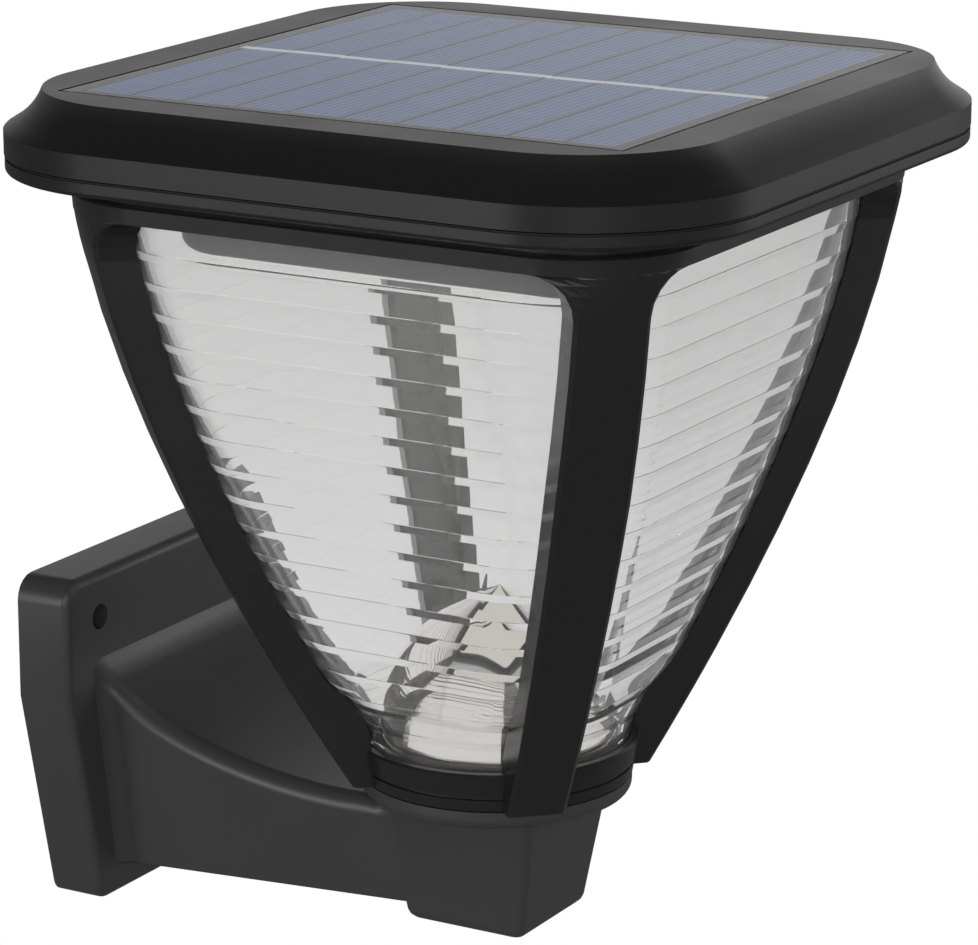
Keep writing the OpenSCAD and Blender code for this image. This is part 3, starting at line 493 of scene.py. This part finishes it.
def silicon_cells(colours, sizes):
    """Polycrystalline silicon strips: a coating that mirrors blue, with fine silver fingers printed across.
    The strips stop short of the board's edge, which shows as a grey margin, as do the gaps between them.
    The fingers are drawn wider than they are printed, because a real one is too fine to show."""
    finger_share, crystal_mm, gap_mm = 0.22, 5, 1.0
    material, tree = new_material("silicon_cells")
    place = add_node(tree, "ShaderNodeTexCoord")
    axes = add_node(tree, "ShaderNodeSeparateXYZ", inputs={"Vector": place.outputs["Object"]})
    pitch = add_node(tree, "ShaderNodeMath", {"operation": "DIVIDE"}, {
        FIRST: axes.outputs["Y"], SECOND: sizes.finger_pitch})
    phase = add_node(tree, "ShaderNodeMath", {"operation": "FRACT"}, {FIRST: pitch.outputs["Value"]})
    finger = add_node(tree, "ShaderNodeMath", {"operation": "LESS_THAN"}, {
        FIRST: phase.outputs["Value"], SECOND: finger_share})
    crystal = add_node(tree, "ShaderNodeTexVoronoi", inputs={
        "Vector": place.outputs["Object"], "Scale": 1 / (crystal_mm * MM)})
    tone = add_node(tree, "ShaderNodeMix", {"data_type": "RGBA"}, {
        MIX_SHARE: crystal.outputs["Distance"],
        MIX_COLOUR_A: linear(colours.cells), MIX_COLOUR_B: linear(colours.crystals)})
    strip = add_node(tree, "ShaderNodeMix", {"data_type": "RGBA"}, {
        MIX_SHARE: finger.outputs["Value"],
        MIX_COLOUR_A: tone.outputs[MIXED_COLOUR], MIX_COLOUR_B: linear(colours.fingers)})
    # the board shows outside the strips' field and along each strip's edges
    across = add_node(tree, "ShaderNodeMath", {"operation": "ABSOLUTE"}, {FIRST: axes.outputs["X"]})
    centred = add_node(tree, "ShaderNodeMath", {"operation": "SUBTRACT"}, {
        FIRST: axes.outputs["Y"], SECOND: ROOF_TOP.y})
    along = add_node(tree, "ShaderNodeMath", {"operation": "ABSOLUTE"}, {FIRST: centred.outputs["Value"]})
    reach = add_node(tree, "ShaderNodeMath", {"operation": "MAXIMUM"}, {
        FIRST: across.outputs["Value"], SECOND: along.outputs["Value"]})
    margin = add_node(tree, "ShaderNodeMath", {"operation": "GREATER_THAN"}, {
        FIRST: reach.outputs["Value"], SECOND: sizes.cell_field})
    edge = add_node(tree, "ShaderNodeMath", {"operation": "PINGPONG"}, {
        FIRST: centred.outputs["Value"], SECOND: CELL_PITCH / 2 * MM})
    gap = add_node(tree, "ShaderNodeMath", {"operation": "LESS_THAN"}, {
        FIRST: edge.outputs["Value"], SECOND: gap_mm / 2 * MM})
    bare = add_node(tree, "ShaderNodeMath", {"operation": "MAXIMUM"}, {
        FIRST: margin.outputs["Value"], SECOND: gap.outputs["Value"]})
    colour = add_node(tree, "ShaderNodeMix", {"data_type": "RGBA"}, {
        MIX_SHARE: bare.outputs["Value"],
        MIX_COLOUR_A: strip.outputs[MIXED_COLOUR], MIX_COLOUR_B: linear("#2e3035")})
    skin = add_node(tree, "ShaderNodeBsdfPrincipled", inputs={
        "Base Color": colour.outputs[MIXED_COLOUR], "Roughness": 0.4, "Metallic": 0.8,
        "Specular IOR Level": 0.0})
    finish_material(tree, skin.outputs["BSDF"])
    return material


def panel_resin():
    """Clear epoxy poured over the cells: level, glossy and a little hazy."""
    ripple_mm, ripple_depth_mm = 14, 0.04
    material, tree = new_material("clear_epoxy")
    place = add_node(tree, "ShaderNodeTexCoord")
    ripple = add_node(tree, "ShaderNodeTexNoise", inputs={
        "Vector": place.outputs["Object"], "Scale": 1 / (ripple_mm * MM), "Detail": 1.0})
    bump = add_node(tree, "ShaderNodeBump", inputs={
        "Height": ripple.outputs["Fac"], "Strength": 0.3, "Distance": ripple_depth_mm * MM})
    skin = add_node(tree, "ShaderNodeBsdfPrincipled", inputs={
        "Base Color": linear("#f4f6fa"), "Roughness": 0.2, "IOR": 1.17,
        "Transmission Weight": 1.0, "Normal": bump.outputs["Normal"]})
    finish_material(tree, skin.outputs["BSDF"])
    return material


def opal_plastic():
    """Opal polystyrene over the diodes, with a painted glow: a weak emission makes it look brighter than its
    lit colour alone.
    """
    material, tree = new_material("opal_polystyrene_painted_glow")
    skin = add_node(tree, "ShaderNodeBsdfPrincipled", inputs={
        "Base Color": linear("#fbfaf5"), "Roughness": 0.35, "IOR": 1.5,
        # painted glow: a weak white emission that brightens the cover, which is no lamp here
        "Emission Color": linear("#fffdf6"), "Emission Strength": 0.5})
    finish_material(tree, skin.outputs["BSDF"])
    return material


def paint(colours, sizes):
    """Each solid that shows, and each piece that stands for one, takes the finish of that solid."""
    # ABS from a fine spark-eroded tool: near black, with broad soft highlights
    roof_plastic = moulded_plastic("moulded_abs_roof", colours.roof, grain_mm=0.7, depth_mm=0.012,
                                   roughness=0.36, ior=1.4)
    # the same from a smoother tool: narrower and brighter highlights down the legs
    cage_plastic = moulded_plastic("moulded_abs_cage", colours.cage, grain_mm=0.7, depth_mm=0.012,
                                   roughness=0.28)
    # polypropylene from a coarser tool: greyer, and more uneven close up
    bracket_plastic = moulded_plastic("moulded_polypropylene", colours.bracket, grain_mm=0.9, depth_mm=0.015,
                                      roughness=0.36)
    # matt ABS: a plain grey band under the roof, with hardly a highlight
    tray_plastic = moulded_plastic("moulded_abs_tray", colours.tray, grain_mm=0.7, depth_mm=0.006,
                                   roughness=0.5)
    # moulded silicone: near black and dull
    rubber = plain_finish("silicone_rubber", "#141414", roughness=0.7)
    # electroplated steel: a pale grey metal with a blurred highlight
    steel = plain_finish("zinc_plated_steel", "#a9acb0", roughness=0.35, metallic=1.0)
    # chrome laid on plastic in a vacuum: a mirror, with no more than a slow waviness
    chrome = plain_finish("vacuum_plated_chrome", "#f6f4f0", roughness=0.05, metallic=1.0, grain_mm=30,
                          depth_mm=0.001)
    # copper dipped in tin: bright, and a little blurred
    tinned_copper = plain_finish("tinned_copper", "#f4f4f2", roughness=0.3, metallic=1.0)
    # rolled brass: warm and a little blurred
    brass = plain_finish("spring_brass", "#c9a860", roughness=0.35, metallic=1.0)
    # pressed glass-fibre laminate: dark and satin
    laminate = plain_finish("black_laminate", "#23262d", roughness=0.5)
    # lacquered circuit boards: an even film with a soft gloss
    white_mask = plain_finish("white_solder_mask", "#e9ebe8", roughness=0.4)
    green_mask = plain_finish("green_solder_mask", "#1f6b3a", roughness=0.4)
    # phosphor in cast silicone: yellow and glossy
    phosphor = plain_finish("yellow_phosphor", "#e8c860", roughness=0.3)
    # heat-shrunk film: one colour, tight and glossy
    film = plain_finish("green_shrink_film", "#1f7a55", roughness=0.3)
    # moulded epoxy and nylon cases: dark and satin
    component = plain_finish("moulded_component", "#303236", roughness=0.5)
    switch_case = plain_finish("switch_case", "#2b2b2d", roughness=0.5)
    finishes = {
        "wall_bracket": bracket_plastic, "twist_plug": cage_plastic, "plug_screws": steel,
        "cage": cage_plastic, "lens": clear_lens_plastic(), "lens_seal": rubber, "reflector_cone": chrome,
        "roof_base": roof_plastic, "roof_seal": rubber, "roof_cap": roof_plastic, "roof_screws": steel,
        "cage_screws": steel, "panel_board": laminate, "panel_pad": rubber,
        "solar_cells": silicon_cells(colours, sizes), "cell_ribbon": tinned_copper,
        "panel_cover": panel_resin(), "lamp_tray": tray_plastic, "tray_screws": steel,
        "led_board": white_mask, "led_chips": phosphor, "led_cover": opal_plastic(),
        "battery_cell": film, "battery_cradle": tray_plastic, "battery_contacts": brass,
        "control_board": green_mask, "board_parts": component, "switch_body": switch_case,
        "button_cap": rubber,
    }
    for node, material in finishes.items():
        set_material(frame["nodes"][node], material)
    for piece in bpy.data.objects:
        for node in piece.get("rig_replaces", ()):
            set_material(piece, finishes[node])


# Stage

def paint_room(scene):
    """Pale walls all round, darker towards the ceiling and behind the wall that carries the light."""
    world = bpy.data.worlds.new("studio")
    world.use_nodes = True
    scene.world = world
    tree = world.node_tree
    tree.nodes.clear()
    place = add_node(tree, "ShaderNodeTexCoord")
    axes = add_node(tree, "ShaderNodeSeparateXYZ", inputs={"Vector": place.outputs["Generated"]})
    height = add_node(tree, "ShaderNodeMapRange", inputs={
        "Value": axes.outputs["Z"], "From Min": 0.26, "From Max": 0.5, "To Min": 0.88, "To Max": 0.1})
    side = add_node(tree, "ShaderNodeMapRange", inputs={
        "Value": axes.outputs["Y"], "From Min": 0.45, "From Max": 0.85, "To Min": 1.0, "To Max": 0.3})
    room = add_node(tree, "ShaderNodeMath", {"operation": "MULTIPLY"}, {
        FIRST: height.outputs["Result"], SECOND: side.outputs["Result"]})
    strength = add_node(tree, "ShaderNodeMix", {"data_type": "FLOAT"}, {
        MIX_SHARE: backdrop_share(tree), MIX_VALUE_A: room.outputs["Value"],
        MIX_VALUE_B: backdrop_strength(tree)})
    glow = add_node(tree, "ShaderNodeBackground", inputs={
        "Color": (1, 1, 1, 1), "Strength": strength.outputs[MIXED_VALUE]})
    add_node(tree, "ShaderNodeOutputWorld", inputs={"Surface": glow.outputs["Background"]})


def lay_floor():
    """Wide pale floor, well below the light, that the camera sees as plain white."""
    width, height = 6, -0.25
    bpy.ops.object.select_all(action="DESELECT")
    bpy.ops.mesh.primitive_plane_add(size=width, location=(0, 0, height))
    floor = bpy.context.active_object
    floor.name = "floor"
    material, tree = new_material("pale_floor")
    matt = add_node(tree, "ShaderNodeBsdfPrincipled", inputs={
        "Base Color": linear("#bcbcbc"), "Roughness": 0.9})
    white = add_node(tree, "ShaderNodeEmission", inputs={
        "Color": (1, 1, 1, 1), "Strength": backdrop_strength(tree)})
    mix = add_node(tree, "ShaderNodeMixShader", inputs={
        SHADER_SHARE: backdrop_share(tree), SHADER_A: matt.outputs["BSDF"],
        SHADER_B: white.outputs["Emission"]})
    finish_material(tree, mix.outputs["Shader"])
    set_material(floor, material)


def hang_lamps(scene, aim):
    """Soft lamps that point at the light: each has a place and a width in metres, and a power in watts."""
    for name, place, width, power in (
            ("key", (-1.3, -0.9, 0.35), 0.9, 3.0),
            ("left_wall", (-1.5, 0.6, 0.05), 0.7, 5.0),
            ("right_wall", (1.3, -1.1, 0.05), 0.8, 2.0)):
        lamp = bpy.data.lights.new(name, "AREA")
        lamp.size = width
        lamp.energy = power
        light = bpy.data.objects.new(name, lamp)
        light.location = place
        light.visible_transmission = False
        light.rotation_euler = (aim - Vector(place)).to_track_quat("-Z", "Y").to_euler()
        scene.collection.objects.link(light)


def place_camera(scene, stage):
    """Camera at the photograph's angle and distance."""
    turn, rise = math.radians(stage.azimuth), math.radians(stage.elevation)
    away = Vector((math.sin(turn) * math.cos(rise), -math.cos(turn) * math.cos(rise), math.sin(rise)))
    optics = bpy.data.cameras.new("camera")
    optics.lens = stage.focal
    optics.sensor_width = 36
    optics.shift_x, optics.shift_y = stage.shift
    optics.clip_start = 0.05
    camera = bpy.data.objects.new("camera", optics)
    camera.location = Vector(stage.aim) + away * stage.distance
    camera.rotation_euler = (-away).to_track_quat("-Z", "Y").to_euler()
    scene.collection.objects.link(camera)
    scene.camera = camera


# Properties, operators and panel

class LanternColours(bpy.types.PropertyGroup):
    """Colours of the plastics and of the solar cells"""
    roof: bpy.props.StringProperty(name="Roof", description="Roof's plastic, sRGB hex", default="#1f1f20")
    cage: bpy.props.StringProperty(name="Cage", description="Cage's plastic, sRGB hex", default="#232324")
    bracket: bpy.props.StringProperty(name="Bracket", description="Bracket's plastic, sRGB hex",
                                      default="#444445")
    tray: bpy.props.StringProperty(name="Tray", description="Tray's plastic, sRGB hex", default="#3e3e40")
    cells: bpy.props.StringProperty(name="Cells", description="Coated silicon, sRGB hex", default="#4f6aa4")
    crystals: bpy.props.StringProperty(name="Crystals", description="Lighter silicon, sRGB hex",
                                       default="#5f79af")
    fingers: bpy.props.StringProperty(name="Fingers", description="Printed silver, sRGB hex", default="#8b9cc0")


class LanternSizes(bpy.types.PropertyGroup):
    """Sizes of the pieces that the scene makes"""
    rib_rise: bpy.props.FloatProperty(name="Rib rise", description="How far a rib's lip stands out of the lens",
                                      default=0.21 * MM, unit="LENGTH")
    tray_half: bpy.props.FloatProperty(name="Tray's half width", description="From the axis to the tray's side",
                                       default=42.6 * MM, unit="LENGTH")
    tray_round: bpy.props.FloatProperty(name="Tray's edge", description="Radius of the tray's lower edge",
                                        default=3 * MM, unit="LENGTH")
    seam: bpy.props.FloatProperty(name="Roof's seam", description="Height of the seam under the roof cap",
                                  default=0.3 * MM, unit="LENGTH")
    pour_gap: bpy.props.FloatProperty(name="Panel's gap", description="Clearance added round the panel",
                                      default=0.25 * MM, unit="LENGTH")
    cell_field: bpy.props.FloatProperty(name="Cells' half width",
                                        description="From the axis to the last cell's edge",
                                        default=51.6 * MM, unit="LENGTH")
    finger_pitch: bpy.props.FloatProperty(name="Finger pitch", description="Spacing of the silver fingers",
                                          default=1.52 * MM, unit="LENGTH")
    flank_out: bpy.props.FloatProperty(name="Arm's flank", description="How far the far flank is drawn out",
                                       default=6.5 * MM, unit="LENGTH")


class LanternStage(bpy.types.PropertyGroup):
    """Place and lens of the camera"""
    distance: bpy.props.FloatProperty(name="Camera distance",
                                      description="From the lantern's middle to the lens",
                                      default=0.778, unit="LENGTH")
    azimuth: bpy.props.FloatProperty(name="Azimuth", description="Camera's angle round the light, in degrees",
                                     default=-60.07)
    elevation: bpy.props.FloatProperty(name="Elevation", description="Camera's angle above level, in degrees",
                                       default=15.09)
    focal: bpy.props.FloatProperty(name="Focal length", description="On a 36 mm sensor", default=158.7)
    aim: bpy.props.FloatVectorProperty(name="Aim", description="Point that the camera looks at",
                                       default=(0.0, -0.084, 0.033), subtype="TRANSLATION")
    shift: bpy.props.FloatVectorProperty(name="Shift", description="Sideways and upward shift of the picture",
                                         default=(-0.0074, -0.0017), size=2)


class LANTERN_OT_roof(bpy.types.Operator):
    """Moulds the roof cap"""
    bl_idname = "lantern.roof"
    bl_label = "Roof cap"

    def execute(self, context):
        mould_roof_cap(context.scene.lantern_sizes)
        return {"FINISHED"}


class LANTERN_OT_panel(bpy.types.Operator):
    """Lays the ribbon on the solar cells and pours the clear epoxy over them"""
    bl_idname = "lantern.panel"
    bl_label = "Solar panel"

    def execute(self, context):
        lay_ribbon()
        pour_epoxy(context.scene.lantern_sizes)
        return {"FINISHED"}


class LANTERN_OT_lamp(bpy.types.Operator):
    """Moulds the tray and the opal cover under the roof"""
    bl_idname = "lantern.lamp"
    bl_label = "Tray and opal cover"

    def execute(self, context):
        mould_tray(context.scene.lantern_sizes)
        mould_led_cover()
        return {"FINISHED"}


class LANTERN_OT_reflector(bpy.types.Operator):
    """Makes the plated reflector on the lamp's floor"""
    bl_idname = "lantern.reflector"
    bl_label = "Reflector"

    def execute(self, context):
        spin_reflector()
        return {"FINISHED"}


class LANTERN_OT_lens(bpy.types.Operator):
    """Moulds the clear ribbed lens"""
    bl_idname = "lantern.lens"
    bl_label = "Lens"

    def execute(self, context):
        mould_lens(context.scene.lantern_sizes)
        return {"FINISHED"}


class LANTERN_OT_bracket(bpy.types.Operator):
    """Smooths the wall bracket and draws out its far flank"""
    bl_idname = "lantern.bracket"
    bl_label = "Wall bracket"

    def execute(self, context):
        dress_bracket(context.scene.lantern_sizes)
        return {"FINISHED"}


class LANTERN_OT_finishes(bpy.types.Operator):
    """Gives each part of the light its material"""
    bl_idname = "lantern.finishes"
    bl_label = "Finishes"

    def execute(self, context):
        paint(context.scene.lantern_colours, context.scene.lantern_sizes)
        return {"FINISHED"}


class LANTERN_OT_stage(bpy.types.Operator):
    """Adds the pale floor, the soft lights and the camera"""
    bl_idname = "lantern.stage"
    bl_label = "Stage"

    def execute(self, context):
        scene, stage = context.scene, context.scene.lantern_stage
        scene.view_settings.view_transform = "Standard"
        paint_room(scene)
        lay_floor()
        hang_lamps(scene, Vector(stage.aim))
        place_camera(scene, stage)
        return {"FINISHED"}


class LANTERN_PT_build(bpy.types.Panel):
    """Lists the values and the steps in the sidebar"""
    bl_label = "Solar wall light"
    bl_idname = "LANTERN_PT_build"
    bl_space_type = "VIEW_3D"
    bl_region_type = "UI"
    bl_category = "Lantern"

    def draw(self, context):
        for group in GROUPS:
            values = getattr(context.scene, GROUPS[group])
            for name in group.__annotations__:
                self.layout.prop(values, name)
        for step in STEPS:
            self.layout.operator(step.bl_idname)


GROUPS = {LanternColours: "lantern_colours", LanternSizes: "lantern_sizes", LanternStage: "lantern_stage"}
STEPS = (LANTERN_OT_roof, LANTERN_OT_panel, LANTERN_OT_lamp, LANTERN_OT_reflector, LANTERN_OT_lens,
         LANTERN_OT_bracket, LANTERN_OT_finishes, LANTERN_OT_stage)


def register():
    for group, name in GROUPS.items():
        bpy.utils.register_class(group)
        setattr(bpy.types.Scene, name, bpy.props.PointerProperty(type=group))
    for step in STEPS:
        bpy.utils.register_class(step)
    bpy.utils.register_class(LANTERN_PT_build)


def unregister():
    bpy.utils.unregister_class(LANTERN_PT_build)
    for step in reversed(STEPS):
        bpy.utils.unregister_class(step)
    for group, name in reversed(GROUPS.items()):
        delattr(bpy.types.Scene, name)
        bpy.utils.unregister_class(group)


def main():
    register()
    bpy.ops.lantern.roof()
    bpy.ops.lantern.panel()
    bpy.ops.lantern.lamp()
    bpy.ops.lantern.reflector()
    bpy.ops.lantern.lens()
    bpy.ops.lantern.bracket()
    bpy.ops.lantern.finishes()
    bpy.ops.lantern.stage()


if __name__ == "__main__":
    main()
